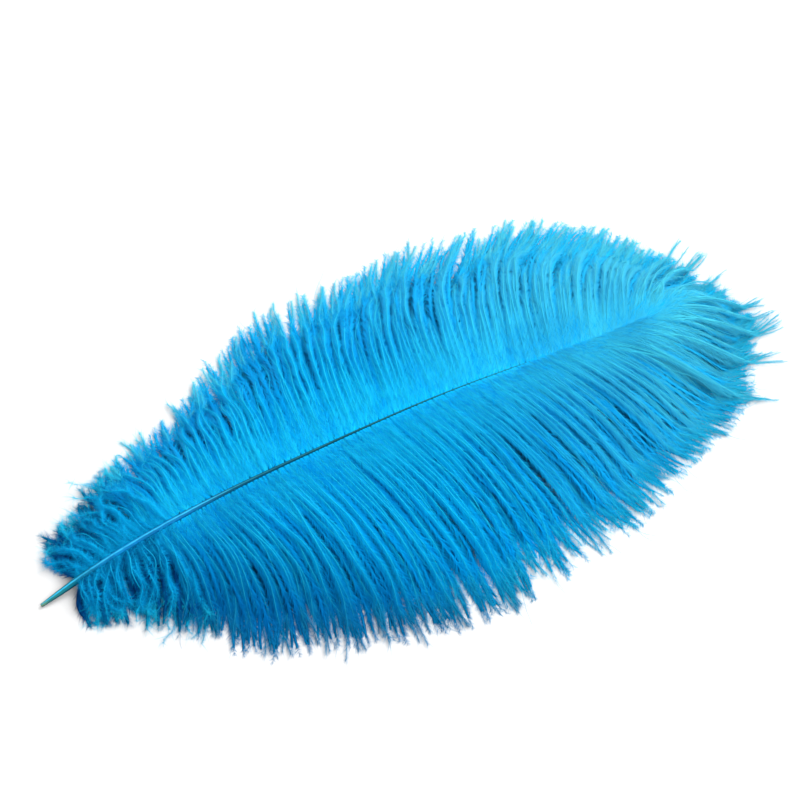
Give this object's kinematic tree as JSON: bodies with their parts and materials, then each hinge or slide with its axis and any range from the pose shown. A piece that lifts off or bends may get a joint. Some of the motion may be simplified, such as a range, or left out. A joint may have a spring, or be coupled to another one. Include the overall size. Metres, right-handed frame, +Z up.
{
  "type": "ostrich feather",
  "caption": "Dyed blue ostrich plume lying flat, with a bare quill, a bowed shaft, two broad soft vanes of loose barbs and downy tufts at the base.",
  "frame": {"origin": "middle of the feather's outline, on the table it lies on", "axes": "+X from the quill's end towards the tip, +Y towards the left vane, +Z up"},
  "size_m": [0.3656, 0.1996, 0.0257],
  "materials": {
    "quill": "dyed keratin, glossy and slightly clear",
    "barbs": "dyed turquoise blue, soft, silky along each barb",
    "down": "dyed blue, soft and wispy"
  },
  "bodies": {
    "root": {"shaft": "quill", "left_vane": "barbs", "right_vane": "barbs", "left_down": "down", "right_down": "down"}
  },
  "joints": []
}
